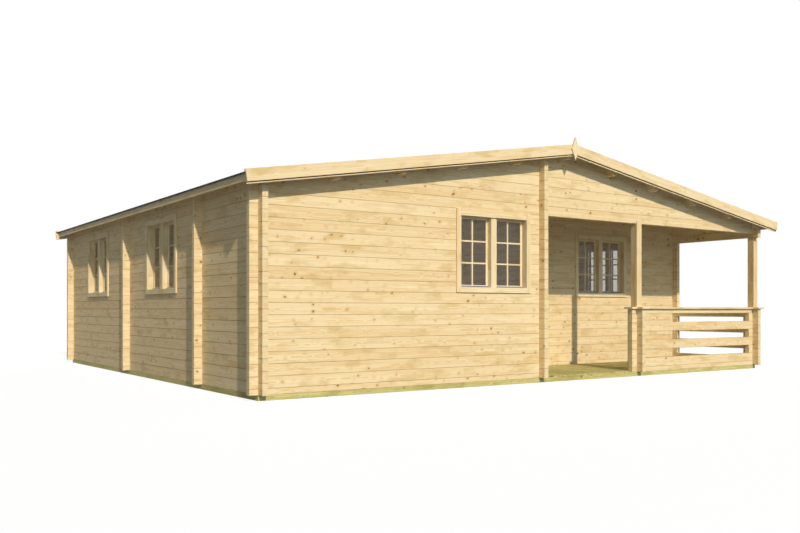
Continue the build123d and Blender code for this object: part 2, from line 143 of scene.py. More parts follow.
# Colours of the wood, how strongly each shows, and its rings and knots in metres
spruce = {
    "pale": tint(252, 231, 184), "warm": tint(242, 209, 152), "late": tint(226, 181, 114),
    "gold": tint(232, 188, 116), "stain": tint(218, 188, 124), "halo": tint(212, 164, 94),
    "knot": tint(122, 54, 34), "brown": tint(166, 104, 54),
    # The seam colour stands partly for the joint and partly for painted shade in the groove
    "end": tint(241, 216, 169), "seamAndShade": tint(112, 96, 62),
    "warmth": 0.70, "flame": 0.50, "stained": 0.62, "lateShare": 0.55, "fibre": 0.30, "endShare": 0.35,
    "ring": 0.013, "knotsPerMetre": 11.0, "knotSize": 0.016, "spread": 0.16, "rough": 0.62,
}
planed = dict(spruce, pale=tint(253, 234, 190), warm=tint(245, 216, 162), ring=0.009, knotsPerMetre=6.0,
              knotSize=0.012, spread=0.14, flame=0.40)
treated = dict(spruce, pale=tint(226, 213, 141), warm=tint(196, 184, 105), late=tint(158, 146, 76),
               gold=tint(180, 162, 82), stain=tint(170, 158, 88), halo=tint(150, 130, 70),
               knot=tint(96, 72, 38), brown=tint(120, 96, 48), ring=0.010, spread=0.40)
shadow = (0.74, 0.69, 0.60, 1.0)  # what a darker board's colour is multiplied by

# Noise in the wood: waves per metre along the grain and across it, and detail
streaks = {
    "knotty": (1.2, 3.0, 1.0), "wander": (16.0, 22.0, 2.0), "slow": (0.5, 3.0, 1.0),
    "broad": (0.45, 11.0, 2.0), "fibre": (4.0, 260.0, 2.0), "bend": (3.0, 9.0, 1.0),
    "flame": (1.7, 24.0, 3.0), "stain": (2.6, 7.0, 2.0),
}


# Wood from grain coordinates (metres along, across and through a board) and a tone from 0 to 1.
# Rings are the fraction of (distance from the heart + slow noise) / ring width. Knots are the near points
# of a cell pattern, larger where a slow noise is high, with the rings bent round them.
def woodGraph(flow, shader, grain, tone, look, endMask=None, seamAndShade=None):
    along, across, through = grain.axes()

    def streak(name, length=along, cross=across):
        lengthwise, crosswise, detail = streaks[name]
        return flow.noise(flow.vector(length * lengthwise, cross * crosswise, through * crosswise), 1.0, detail)

    count, knotSize = look["knotsPerMetre"], look["knotSize"]
    knotty = streak("knotty").above(0.36, 5.0)
    wander = streak("wander")
    cell = flow.make("ShaderNodeTexVoronoi", {"voronoi_dimensions": "3D", "feature": "F1"},
                     {"Vector": flow.vector(along * 0.8 + wander * 0.04, across + wander * 0.03, through),
                      "Scale": count, "Randomness": 1.0})
    apart = cell.pick("Distance") / count
    chances = flow.make("ShaderNodeSeparateColor", {}, {0: cell.pick("Color")})
    chance = chances.pick("Red")
    size = (chance * 0.85 + 0.25) * (knotty * 0.6 + 0.4) * knotSize
    knot = ((size - apart) / (size * 0.5)).clamped()
    halo = math.e ** (apart * apart * (-1 / (2.0 * knotSize) ** 2))
    depth = tone * 0.05 + 0.014  # how far the heart lies behind the face
    radius = (across * across + depth * depth) ** 0.5
    ring = flow.math("FRACT", (radius + streak("slow") * 0.055 + halo * 0.010) / look["ring"])
    late = ring ** 3.0
    fibre = streak("fibre")
    warmth = ((streak("broad") - 0.40) * 2.4 + (tone - 0.5) * 0.5).clamped()
    flame = streak("flame", cross=across + streak("bend") / 12.0).above(0.52, 5.0)
    stain = streak("stain", along + wander / 6.5).above(0.53, 6.0)
    colour = flow.blend(warmth * look["warmth"], look["pale"], look["warm"])
    colour = flow.blend(flame * look["flame"], colour, look["gold"])
    colour = flow.blend(stain * look["stained"], colour, look["stain"])
    colour = flow.blend(late * look["lateShare"], colour, look["late"])
    colour = flow.blend((fibre - 0.35) * look["fibre"], colour, look["late"])
    colour = flow.blend(tone * look["spread"], colour, shadow, "MULTIPLY")
    colour = flow.blend(halo * halo * (chance * 0.58 + 0.12) * (knotty * 0.7 + 0.3), colour, look["halo"])
    knotColour = flow.blend(chances.pick("Green"), look["brown"], look["knot"])
    colour = flow.blend(knot * (chance * 0.45 + 0.50), colour, knotColour)
    if endMask:
        colour = flow.blend(endMask * look["endShare"], colour, look["end"])
        # At the seams the colour darkens: partly the joint, partly painted shade in the groove
        colour = flow.blend(seamAndShade, colour, look["seamAndShade"])
    height = late * 0.5 + fibre * 0.35 - knot * 0.2
    bump = flow.make("ShaderNodeBump", {}, {"Strength": 0.25, "Distance": 0.002, "Height": height})
    rough = late * 0.10 - knot * 0.18 + look["rough"]
    feed(flow, shader, {"Base Color": colour, "Roughness": rough, "Normal": bump})


woodPlain = {"Specular IOR Level": 0.22}

# Wall logs: the height of a course, where the first starts, and how dark the seams are. The seams' dark line is
# partly the joint and partly painted shade in the groove, strongest on logs along the sides and on log ends
logs = {"course": 0.135, "frontStart": 0.130, "sideStart": 0.0625, "seamAndShadeEdge": 0.004, "seamAndShadeBlur": 0.003,
        "frontSeamAndShade": 0.15, "sideSeamAndShade": 0.42, "endSeamAndShade": 0.30}


# Logs read their course from their height: every course has a tone and a grain of its own
def logFinish(name, lengthwise, start, seamShade):
    finish, flow, shader = newFinish(name, woodPlain)
    x, y, z = flow.make("ShaderNodeTexCoord", {}, {}, "Object").axes()
    normal = flow.make("ShaderNodeNewGeometry", {}, {}, "True Normal").axes()
    along, through, facing = (x, y, normal[0]) if lengthwise == "x" else (y, x, normal[1])
    course = (z - start) / logs["course"]
    number = flow.math("FLOOR", course)
    wall = flow.math("FLOOR", through * 1.3 + 0.37)
    dice = flow.make("ShaderNodeTexWhiteNoise", {"noise_dimensions": "3D"},
                     {"Vector": flow.vector(number, wall, 0.0)})
    across = (course - number - 0.5) * logs["course"]
    grain = flow.vector(along + dice * 90.0, across, through + number * 1.7)
    endMask = flow.math("GREATER_THAN", flow.math("ABSOLUTE", facing), 0.7)
    # A dark line at each course's top and bottom: partly the joint, partly painted shade in the groove, darker
    # along the sides and on log ends
    seamAndShadeStart = logs["course"] / 2 - logs["seamAndShadeEdge"]
    seamAndShade = ((flow.math("ABSOLUTE", across) - seamAndShadeStart) / logs["seamAndShadeBlur"]).clamped()
    woodGraph(flow, shader, grain, dice, spruce, endMask, seamAndShade * (endMask * logs["endSeamAndShade"] + seamShade))
    return finish


# Upright timbers read straight off their place; spacing parts one timber's tone from the next
def timberFinish(name, look, spacing):
    finish, flow, shader = newFinish(name, woodPlain)
    x, y, z = flow.make("ShaderNodeTexCoord", {}, {}, "Object").axes()
    number = flow.math("FLOOR", x / spacing + 0.5)
    dice = flow.make("ShaderNodeTexWhiteNoise", {"noise_dimensions": "3D"},
                     {"Vector": flow.vector(number, 3.0, 0.0)})
    woodGraph(flow, shader, flow.vector(z + dice * 70.0, x - number * spacing, y), dice, look)
    return finish


# Boards carry their grain and tone as attributes
def boardFinish(name, look):
    finish, flow, shader = newFinish(name, woodPlain)
    grain = flow.make("ShaderNodeAttribute", {"attribute_name": "grain"}, {}, "Vector")
    tone = flow.make("ShaderNodeAttribute", {"attribute_name": "tone"}, {}, 2)
    woodGraph(flow, shader, grain, tone, look)
    return finish


felt = {"black": tint(25, 25, 27), "grit": tint(70, 72, 76), "rough": 0.92, "sheetTone": 0.22,
        "lapLine": 0.488, "lapBlur": 0.004, "lapShade": 0.8}


# Gritty felt: fine noise and broad patches, a tone for each sheet, and a dark line at the lap
def feltFinish():
    finish, flow, shader = newFinish("roofFelt", {"Specular IOR Level": 0.3})
    place = flow.make("ShaderNodeTexCoord", {}, {}, "Object")
    grit = flow.noise(place, 420.0, 3.0)
    patch = flow.noise(place, 2.3, 3.0)
    tone = flow.make("ShaderNodeAttribute", {"attribute_name": "tone"}, {}, 2)
    across = flow.make("ShaderNodeAttribute", {"attribute_name": "grain"}, {}, "Vector").axes()[1]
    shade = grit * 1.6 - 0.6 + (patch - 0.5) * 0.5 + (tone - 0.5) * felt["sheetTone"]
    colour = flow.blend(shade.clamped(), felt["black"], felt["grit"])
    lap = ((across - felt["lapLine"]) / felt["lapBlur"]).clamped()
    colour = flow.blend(lap * felt["lapShade"], colour, felt["black"])
    bump = flow.make("ShaderNodeBump", {}, {"Strength": 0.5, "Distance": 0.001, "Height": grit})
    feed(flow, shader, {"Base Color": colour, "Roughness": grit * 0.1 + (felt["rough"] - 0.05), "Normal": bump})
    return finish


# Drip strips under the panes, and the door's fittings
strip = {"metal": tint(150, 156, 172), "rough": 0.38}
fitting = {"metal": tint(196, 196, 194), "rough": 0.32}
tarnish = (0.30, 0.31, 0.34, 1.0)


# Brushed metal, dulled in patches
def metalFinish(name, look):
    finish, flow, shader = newFinish(name, {"Metallic": 0.6})
    x, y, z = flow.make("ShaderNodeTexCoord", {}, {}, "Object").axes()
    brushed = flow.noise(flow.vector(x * 8.0, y * 8.0, z * 600.0), 1.0)
    wear = flow.noise(flow.vector(x, y, z), 9.0, 3.0)
    feed(flow, shader, {
        "Base Color": flow.blend(wear * 0.3, look["metal"], tarnish),
        "Roughness": brushed * 0.15 + (look["rough"] - 0.07),
    })
    return finish


pane = {"tint": tint(221, 219, 216), "clear": 0.97, "bending": 1.22, "rough": 0.02}


# Clear panes: a faint film of dust only changes how rough they are
def glassFinish():
    plain = {"Base Color": pane["tint"], "Transmission Weight": pane["clear"], "IOR": pane["bending"]}
    finish, flow, shader = newFinish("windowPane", plain)
    film = flow.noise(flow.make("ShaderNodeTexCoord", {}, {}, "Object"), 3.0, 3.0)
    feed(flow, shader, {"Roughness": film * 0.02 + pane["rough"] * 0.5})
    return finish


logsAlongFront = logFinish("logsAlongFront", "x", logs["frontStart"], logs["frontSeamAndShade"])
logsAlongSide = logFinish("logsAlongSide", "y", logs["sideStart"], logs["sideSeamAndShade"])
planedBoards = boardFinish("planedBoards", planed)
spruceBoards = boardFinish("spruceBoards", spruce)
treatedBoards = boardFinish("treatedBoards", treated)
roofingFelt = feltFinish()
dripMetal = metalFinish("dripMetal", strip)
handleMetal = metalFinish("handleMetal", fitting)
clearPane = glassFinish()
print("materials:", len(bpy.data.materials))

# Pieces of the model that stay as they are, with their finishes
wallsAlongFront = ["front_wall", "front_gable", "back_wall", "back_gable", "cross_wall", "rear_partition",
                   "front_balustrade"]
wallsAlongSide = ["left_wall", "right_wall", "hall_wall", "side_balustrade", "post_stack"]
kept = {name: logsAlongFront for name in wallsAlongFront}
kept.update({name: logsAlongSide for name in wallsAlongSide})
postLook = dict(spruce, pale=tint(244, 221, 171), warm=tint(236, 204, 147), ring=0.009, knotsPerMetre=6.0)
kept["entry_post"] = kept["corner_post"] = timberFinish("postTimber", postLook, 1.9)
kept["finials"] = timberFinish("finialBoard", planed, 0.7)
windowWalls = ("front", "veranda", "left", "right", "back")
kept.update({f"{wall}_window_glass": clearPane for wall in windowWalls})
kept["door_glass"] = clearPane
for name, finish in kept.items():
    nodes[name].data.materials.clear()
    nodes[name].data.materials.append(finish)
    nodes[name].visible_shadow = finish is not clearPane  # daylight passes the panes
print("model pieces finished:", len(kept))


# Adds a mesh piece from point and face arrays, with point attributes, and fixes it to the house
def addPiece(name, points, faces, finish, replaced=(), attributes=None, smooth=False):
    mesh = bpy.data.meshes.new(name)
    mesh.from_pydata(points.tolist(), [], faces)
    for key, values in (attributes or {}).items():
        kind = "FLOAT_VECTOR" if values.ndim == 2 else "FLOAT"
        layer = mesh.attributes.new(key, kind, "POINT")
        layer.data.foreach_set("vector" if values.ndim == 2 else "value", values.astype(np.float32).ravel())
    mesh.polygons.foreach_set("use_smooth", np.full(len(mesh.polygons), smooth))
    mesh.materials.append(finish)
    mesh.update()
    piece = bpy.data.objects.new(name, mesh)
    scene.collection.objects.link(piece)
    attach(piece, "root")
    if replaced:
        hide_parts(*replaced)
    return piece


# One board between two corners, measured from the wall corner, as a row of numbers: start, axis, side,
# length, width, thickness and the skews of its two ends
def plank(low, high, lengthwise):
    low, high = np.array(low, float), np.array(high, float)
    first = "xyz".index(lengthwise)
    second = {"x": 2, "y": 2, "z": 0}[lengthwise]
    third = 3 - first - second
    start = (low + high) / 2
    start[first] = low[first]
    axis, side = np.eye(3)[first], np.eye(3)[second]
    span = high - low
    return np.concatenate([start, axis, side, [span[first], span[second], span[third], 0.0, 0.0]])


# Turns boards by quarter turns about the upright axis and moves them to a place
def placed(rows, place, quarterTurns):
    rows = np.array(rows, float)
    c, s = [(1, 0), (0, 1), (-1, 0), (0, -1)][quarterTurns % 4]
    turn = np.array([[c, -s, 0], [s, c, 0], [0, 0, 1]], float)
    for part in (slice(0, 3), slice(3, 6), slice(6, 9)):
        rows[:, part] = rows[:, part] @ turn.T
    rows[:, 0:3] += np.array(place)
    return rows


# Faces of equal tubes: quads between neighbouring rings, and a cap at both ends
def tubeFaces(count, steps, sides):
    lead = np.arange(count)[:, None] * steps * sides
    first = lead[:, :, None] + np.arange(steps - 1)[None, :, None] * sides
    around = np.arange(sides)
    here, after = first + around, first + (around + 1) % sides
    quads = np.stack([here, after, after + sides, here + sides], -1).reshape(-1, 4)
    caps = np.concatenate([lead + around[::-1], lead + (steps - 1) * sides + around])
    return quads.tolist() + caps.tolist()


# Boards: an eased rectangle (or a given outline) carried along each board's axis. A point is
# start + s * axis + u * side + v * (axis x side), where s = end + skew * u and the first and last of four
# sections are drawn in by the eased edge.
def boards(name, rows, finish, replaced=(), edge=0.002, outline=None, seed=1):
    rows = np.array(rows, float)
    total = len(rows)
    start, axis, side = rows[:, 0:3] + corner, rows[:, 3:6], rows[:, 6:9]
    length, width, thick, skewStart, skewEnd = rows[:, 9:14].T
    face = np.cross(axis, side)
    edges = np.minimum(edge, np.minimum(width, thick) * 0.3)
    if outline is None:
        u0, v0 = (width / 2)[:, None], (thick / 2)[:, None]
        e = edges[:, None]
        signU = np.array([1, 1, 1, -1, -1, -1, -1, 1])[None]
        signV = np.array([-1, 1, 1, 1, 1, -1, -1, -1])[None]
        easeU = np.array([0, 0, 1, 1, 0, 0, 1, 1])[None]
        easeV = 1 - easeU
        u, v = signU * (u0 - e * easeU), signV * (v0 - e * easeV)
    else:
        shape = np.broadcast_to(np.array(outline, float), (total,) + np.shape(outline)[-2:])
        u, v = shape[..., 0], shape[..., 1]
    sides = u.shape[1]
    shrink = np.array([1.0, 0.0, 0.0, 1.0])[None, :, None] * (0.0 if outline is not None else 1.0)
    inU = 1 - shrink * (edges / (width / 2))[:, None, None]
    inV = 1 - shrink * (edges / (thick / 2))[:, None, None]
    uu, vv = u[:, None, :] * inU, v[:, None, :] * inV
    ends = np.stack([0 * length, edges, length - edges, length], 1)
    skews = np.stack([skewStart, skewStart, skewEnd, skewEnd], 1)
    ss = ends[:, :, None] + skews[:, :, None] * uu
    points = (start[:, None, None] + ss[..., None] * axis[:, None, None]
              + uu[..., None] * side[:, None, None] + vv[..., None] * face[:, None, None])
    dice = np.random.default_rng(seed)
    offset, tone = dice.uniform(0, 200, total), dice.uniform(0, 1, total)
    grain = np.stack([ss + offset[:, None, None], uu, vv], -1)
    attributes = {"grain": grain.reshape(-1, 3), "tone": np.repeat(tone, 4 * sides)}
    faces = tubeFaces(total, 4, sides)
    return addPiece(name, points.reshape(-1, 3), faces, finish, replaced, attributes)


# Round bars: a circle carried along each path and drawn in at its ends. A point is the path's point +
# size * (cos(turn) * u + sin(turn) * v), and every path has the same count of points.
def roundBars(name, paths, radius, finish, sides=12):
    paths = np.array(paths, float) + corner
    ahead = np.gradient(paths, axis=1)
    ahead /= np.linalg.norm(ahead, axis=2, keepdims=True)
    upright = np.where(np.abs(ahead[..., 2:]) > 0.9, np.array([1.0, 0, 0]), np.array([0, 0, 1.0]))
    u = np.cross(ahead, upright)
    u /= np.linalg.norm(u, axis=2, keepdims=True)
    v = np.cross(ahead, u)
    turn = np.linspace(0, 2 * np.pi, sides, endpoint=False)
    size = np.full(paths.shape[1], radius)
    size[[0, -1]] *= 0.8
    ringShape = np.cos(turn)[:, None] * u[:, :, None] + np.sin(turn)[:, None] * v[:, :, None]
    points = paths[:, :, None] + ringShape * size[None, :, None, None]
    faces = tubeFaces(*paths.shape[:2], sides)
    return addPiece(name, points.reshape(-1, 3), faces, finish, smooth=True)


# Windows, drawn for a wall whose outer face is y = 0, from the middle of the sill
window = {
    "half": 0.625, "height": 1.080, "lap": 0.010, "headLap": 0.002, "footRise": 0.008, "side": 0.072,
    "head": 0.088, "foot": 0.071, "casing": 0.022, "clear": 0.004, "depth": 0.101, "mullion": 0.094,
    "setback": 0.073, "rebate": 0.012, "stile": 0.043, "bar": 0.021, "barDepth": 0.009, "barBack": 0.008,
    "pane": 0.004, "gap": 0.0005, "play": 0.002, "strip": 0.020, "stripOut": 0.022, "stripFold": 0.003,
    "stripNose": 0.1,
}


def windowBoards(w):
    gap, inner, middle = w["gap"], w["rebate"], w["mullion"] / 2
    outer, jamb = w["half"] + w["lap"], w["half"] - w["clear"]
    reach = outer - w["side"]
    span = reach + inner
    low, high = w["footRise"], w["height"] + w["headLap"]
    foot, top = low + w["foot"], high - w["head"]
    under, over, lintel = foot - inner, top + inner, w["height"] - w["clear"]
    front, stop, back = -w["casing"], w["setback"], w["depth"]
    frameRows, sashRows, stripRows = [], [], []
    uprights = [(outer, reach, front, -gap, low, high), (jamb, span, 0.0, back, gap, lintel),
                (reach, span, 0.0, stop, under, over)]  # casing, jamb and stop
    for sign in (-1, 1):
        for x0, x1, y0, y1, z0, z1 in uprights:
            a, b = sorted((sign * x0, sign * x1))
            frameRows.append(plank((a, y0, z0), (b, y1, z1), "z"))
    frameRows += [
        plank((-reach, front, low), (reach, -gap, foot), "x"),
        plank((-reach, front, top), (reach, -gap, high), "x"),
        plank((-span, 0.0, gap), (span, back, under), "x"),
        plank((-span, 0.0, over), (span, back, lintel), "x"),
        plank((-reach, 0.0, under), (reach, stop, foot), "x"),
        plank((-reach, 0.0, top), (reach, stop, over), "x"),
        plank((-middle, 0.0, foot), (middle, stop, top), "z"),
        plank((inner - middle, stop, under), (middle - inner, back, over), "z"),
    ]
    leaf = stop + gap
    glass = (leaf + back) / 2
    barFaces = [(glass - w["pane"] - w["barDepth"], glass - w["pane"]),
                (glass + w["pane"], back + w["barBack"])]
    far, near = span - w["play"], middle - inner + w["play"]
    z0, z1 = under + w["play"], over - w["play"]
    stile, halfBar = w["stile"] - w["play"], w["bar"] / 2
    for x0, x1 in ((-far, -near), (near, far)):
        a, b, paneLow, paneHigh = x0 + stile, x1 - stile, z0 + stile, z1 - stile
        sashRows += [
            plank((x0, leaf, z0), (a, back, z1), "z"),
            plank((b, leaf, z0), (x1, back, z1), "z"),
            plank((a, leaf, z0), (b, back, paneLow), "x"),
            plank((a, leaf, paneHigh), (b, back, z1), "x"),
        ]
        left, right = (x0 + x1) / 2 - halfBar, (x0 + x1) / 2 + halfBar
        for y0, y1 in barFaces:
            sashRows.append(plank((left, y0, paneLow), (right, y1, paneHigh), "z"))
            for third in (1, 2):
                z = paneLow + (paneHigh - paneLow) * third / 3
                sashRows.append(plank((a, y0 + gap, z - halfBar), (left, y1, z + halfBar), "x"))
                sashRows.append(plank((right, y0 + gap, z - halfBar), (b, y1, z + halfBar), "x"))
        stripRows.append(plank((x0 + inner, stop - w["stripOut"], foot),
                               (x1 - inner, stop, foot + w["strip"]), "x"))
    return np.array(frameRows), np.array(sashRows), np.array(stripRows)


# A drip strip's outline: upright back, sloping top, small lip in front; u is up and v is out of the wall
def dripOutline(w):
    h, d = w["strip"], w["stripOut"]
    return [(-h / 2, -d / 2), (h / 2, -d / 2), (h / 2, -d / 2 + w["stripFold"]), (-h * w["stripNose"], d / 2),
            (-h / 2, d / 2)]


# Where each wall's windows stand: quarter turns, and the middles of their sills
def windowPlaces(wall):
    low, high = (np.array(c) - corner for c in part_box(f"{wall}_window_frame"))
    outer, casing = window["half"] + window["lap"], window["casing"]
    sill = low[2] - window["gap"]
    if wall in ("front", "veranda"):
        return 0, [((low[0] + high[0]) / 2, low[1] + casing, sill)]
    if wall == "left":
        return 3, [(low[0] + casing, y, sill) for y in (low[1] + outer, high[1] - outer)]
    if wall == "right":
        return 1, [(high[0] - casing, y, sill) for y in (low[1] + outer, high[1] - outer)]
    return 2, [(x, high[1] - casing, sill) for x in (low[0] + outer, high[0] - outer)]


frameRows, sashRows, stripRows = windowBoards(window)
for seed, wall in enumerate(windowWalls):
    turns, places = windowPlaces(wall)
    frames, sashes, strips = (np.concatenate([placed(rows, place, turns) for place in places])
                              for rows in (frameRows, sashRows, stripRows))
    boards(f"{wall}WindowFrame", frames, planedBoards, [f"{wall}_window_frame"], seed=10 + seed)
    boards(f"{wall}WindowSashes", sashes, planedBoards, [f"{wall}_window_sashes"], edge=0.0015,
           seed=20 + seed)
    boards(f"{wall}DripStrips", strips, dripMetal, outline=dripOutline(window), seed=30 + seed)
print("windows done")

# The entrance door, in the wall behind the veranda
door = {"side": 0.072, "head": 0.088, "lap": 0.010, "headLap": 0.002, "casing": 0.022, "clear": 0.004,
        "rebate": 0.012, "gap": 0.0005, "stile": 0.110, "panel": 0.900, "planks": 6, "recess": 0.010,
        "bar": 0.028, "barOut": 0.014, "pane": 0.004, "thick": 0.044, "wall": 0.070}
leafLow, leafHigh = (np.array(c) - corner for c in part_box("door_leaf"))
doorLow, doorHigh = (np.array(c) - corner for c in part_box("door_frame"))


def doorBoards(d):
    x0, x1 = doorLow[0], doorHigh[0]
    y0, top = doorLow[1], doorHigh[2]
    face = y0 + d["casing"]
    front, stop, back = face - d["gap"], face + d["wall"] - d["thick"], face + d["wall"]
    sill, deckTop = leafLow[2] - d["gap"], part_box("veranda_floor")[1][2] + d["gap"]
    head, lintel = top - d["head"], top - d["headLap"] - d["clear"]
    light0, light1 = x0 + d["side"], x1 - d["side"]
    jamb0, jamb1 = x0 + d["lap"] + d["clear"], x1 - d["lap"] - d["clear"]
    span0, span1, over = light0 - d["rebate"], light1 + d["rebate"], head + d["rebate"]
    return [
        plank((x0, y0, deckTop), (light0, front, top), "z"),
        plank((light1, y0, deckTop), (x1, front, top), "z"),
        plank((light0, y0, head), (light1, front, top), "x"),
        plank((jamb0, face, doorLow[2]), (span0, back, lintel), "z"),
        plank((span0, face, sill), (light0, stop, over), "z"),
        plank((span1, face, doorLow[2]), (jamb1, back, lintel), "z"),
        plank((light1, face, sill), (span1, stop, over), "z"),
        plank((span0, face, over), (span1, back, lintel), "x"),
        plank((light0, face, head), (light1, stop, over), "x"),
        plank((span0, face, doorLow[2]), (span1, back, sill), "x"),
    ]


def leafBoards(d):
    (x0, y0, z0), (x1, y1, z1) = leafLow, leafHigh
    a, b, foot = x0 + d["stile"], x1 - d["stile"], z0 + d["stile"]
    paneFoot, paneTop = z0 + d["panel"], z1 - d["stile"]
    railFoot = paneFoot - d["stile"]
    rows = [
        plank((x0, y0, z0), (a, y1, z1), "z"),
        plank((b, y0, z0), (x1, y1, z1), "z"),
        plank((a, y0, z0), (b, y1, foot), "x"),
        plank((a, y0, railFoot), (b, y1, paneFoot), "x"),
        plank((a, y0, paneTop), (b, y1, z1), "x"),
    ]
    lines = np.linspace(a, b, d["planks"] + 1)
    for left, right in zip(lines[:-1], lines[1:]):
        rows.append(plank((left, y0 + d["recess"], foot), (right, y1 - d["recess"], railFoot), "z"))
    half, glass = d["bar"] / 2, (y0 + y1) / 2
    left, right = (x0 + x1) / 2 - half, (x0 + x1) / 2 + half
    for front, back in ((glass - d["barOut"], glass - d["pane"]), (glass + d["pane"], glass + d["barOut"])):
        rows.append(plank((left, front, paneFoot), (right, back, paneTop), "z"))
        for third in (1, 2):
            z = paneFoot + (paneTop - paneFoot) * third / 3
            rows.append(plank((a, front + d["gap"], z - half), (left, back, z + half), "x"))
            rows.append(plank((right, front + d["gap"], z - half), (b, back, z + half), "x"))
    return rows


boards("doorFrame", doorBoards(door), planedBoards, ["door_frame"], seed=41)
boards("doorLeaf", leafBoards(door), planedBoards, ["door_leaf"], edge=0.003, seed=42)

# Lever handles with their plates, on both faces of the leaf
handle = {"in": 0.055, "high": 1.03, "radius": 0.009, "lift": 0.046, "bend": 0.016, "reach": 0.105,
          "steps": 9, "plateHalf": 0.020, "plateThick": 0.005, "plateDown": 0.11, "plateUp": 0.05}
handleX, handleZ = leafLow[0] + handle["in"], handle["high"]


# A lever: straight out of the leaf, a quarter turn of the bend radius, then along the leaf
def leverPath(y, out, h):
    turn = np.linspace(0, np.pi / 2, h["steps"])
    rise = h["lift"] - h["bend"] + h["bend"] * np.sin(turn)
    curve = np.stack([handleX + h["bend"] * (1 - np.cos(turn)), y + out * rise, 0 * turn + handleZ], 1)
    tip = [handleX + h["reach"], y + out * h["lift"], handleZ]
    return np.concatenate([[[handleX, y, handleZ]], curve, [tip]])


def leverPlate(y0, y1, h):
    return plank((handleX - h["plateHalf"], y0, handleZ - h["plateDown"]),
                 (handleX + h["plateHalf"], y1, handleZ + h["plateUp"]), "z")


levers = [leverPath(leafLow[1], -1, handle), leverPath(leafHigh[1], 1, handle)]
roundBars("doorLever", levers, handle["radius"], handleMetal)
plates = [leverPlate(leafLow[1] - handle["plateThick"], leafLow[1], handle),
          leverPlate(leafHigh[1], leafHigh[1] + handle["plateThick"], handle)]
boards("doorPlates", plates, handleMetal, edge=0.0015, seed=43)
print("door done")

# Veranda deck: boards from front to back, cut short behind the rail and round the stacks of log ends
deck = {"pitch": 0.0975, "gap": 0.004, "clear": 0.005, "wall": 0.070}


def deckBoards(d):
    low, high = (np.array(c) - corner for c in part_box("veranda_floor"))
    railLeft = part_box("front_balustrade")[0][0] - corner[0]
    stackLow, stackHigh = (np.array(c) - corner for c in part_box("post_stack"))
    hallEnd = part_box("front_wall")[1][0] - corner[0]
    count = round((high[0] - low[0]) / d["pitch"])
    lines = np.linspace(low[0], high[0], count + 1)
    a, b = lines[:-1] + d["gap"] / 2, lines[1:] - d["gap"] / 2
    behindRail = (b > railLeft - d["clear"]) | (a < hallEnd + d["clear"])
    atStack = (b > stackLow[0] - d["clear"]) & (a < stackHigh[0] + d["clear"])
    front = np.where(behindRail, d["wall"] + d["clear"], low[1])
    front = np.where(atStack, stackHigh[1] + d["clear"], front)
    return [plank((x0, y0, low[2]), (x1, high[1], high[2]), "y") for x0, x1, y0 in zip(a, b, front)]


boards("deckBoards", deckBoards(deck), treatedBoards, ["veranda_floor"], edge=0.004, seed=51)

# Floor boards indoors, three rooms, notched where the hall wall ends
floor = {"pitch": 0.121, "gap": 0.001, "low": 0.062, "high": 0.088, "notch": (4.180, 4.260, 1.820),
         "rooms": [((0.075, 0.075), (4.180, 1.635)), ((0.075, 1.715), (9.145, 4.625)),
                   ((0.075, 4.705), (9.145, 8.115))]}


def floorBoards(f):
    rows = []
    notchLow, notchHigh, notchEnd = f["notch"]
    for number, ((x0, y0), (x1, y1)) in enumerate(f["rooms"]):
        lines = np.linspace(x0, x1, round((x1 - x0) / f["pitch"]) + 1)
        for a, b in zip(lines[:-1] + f["gap"] / 2, lines[1:] - f["gap"] / 2):
            notched = number == 1 and b > notchLow and a < notchHigh
            rows.append(plank((a, notchEnd if notched else y0, f["low"]), (b, y1, f["high"]), "y"))
    return rows


boards("floorBoards", floorBoards(floor), spruceBoards, ["house_floor"], seed=52)

# Base beams and joists on the ground
base = {"high": 0.062, "wide": 0.110, "log": 0.070, "gap": 0.0005, "joist": 0.045, "joists": 7,
        "cross": 1.640, "rear": 4.630, "hall": 4.185}


def baseBoards(b):
    width, depth = houseSize[:2]
    half, mid = b["wide"] / 2, b["log"] / 2
    spans = [(0.0, b["wide"]), (b["cross"] + mid - half, b["cross"] + mid + half),
             (b["rear"] + mid - half, b["rear"] + mid + half), (depth - b["wide"], depth)]
    beams = [plank((0, y0, 0), (width, y1, b["high"]), "x") for y0, y1 in spans]
    joists = []
    for bay in range(3):
        y0, y1 = spans[bay][1] + b["gap"], spans[bay + 1][0] - b["gap"]
        beams.append(plank((0, y0, 0), (b["wide"], y1, b["high"]), "y"))
        beams.append(plank((width - b["wide"], y0, 0), (width, y1, b["high"]), "y"))
        if bay == 0:
            hall = b["hall"] + mid
            beams.append(plank((hall - half, y0, 0), (hall + half, y1, b["high"]), "y"))
        for number in range(1, b["joists"] + 1):
            x = number * width / (b["joists"] + 1)
            joists.append(plank((x - b["joist"] / 2, y0, 0), (x + b["joist"] / 2, y1, b["high"]), "y"))
    return beams, joists


beamRows, joistRows = baseBoards(base)
boards("baseBeams", beamRows, treatedBoards, ["base_beams"], edge=0.003, seed=53)
boards("floorJoists", joistRows, treatedBoards, ["floor_joists"], edge=0.003, seed=54)
print("floors done")

# Handrail boards on the rails
rail = {"wide": 0.150, "thick": 0.030, "reach": 0.143, "log": 0.070, "gap": 0.0005}
railLow, railHigh = (np.array(c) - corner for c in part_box("handrails"))


def handrailBoards(r):
    mid, half = r["log"] / 2, r["wide"] / 2
    low, high = railHigh[2] - r["thick"], railHigh[2]
    rows = [plank((railLow[0], mid - half, low), (railHigh[0], mid + half, high), "x")]
    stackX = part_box("post_stack")[0][0] - corner[0] + mid
    sideX = houseSize[0] - mid
    for x, back in ((sideX, railHigh[1]), (stackX, r["log"] + r["reach"])):
        rows.append(plank((x - half, railLow[1], low), (x + half, mid - half - r["gap"], high), "y"))
        rows.append(plank((x - half, mid + half + r["gap"], low), (x + half, back, high), "y"))
    return rows


boards("handrailBoards", handrailBoards(rail), planedBoards, ["handrails"], edge=0.004,
       seed=61)

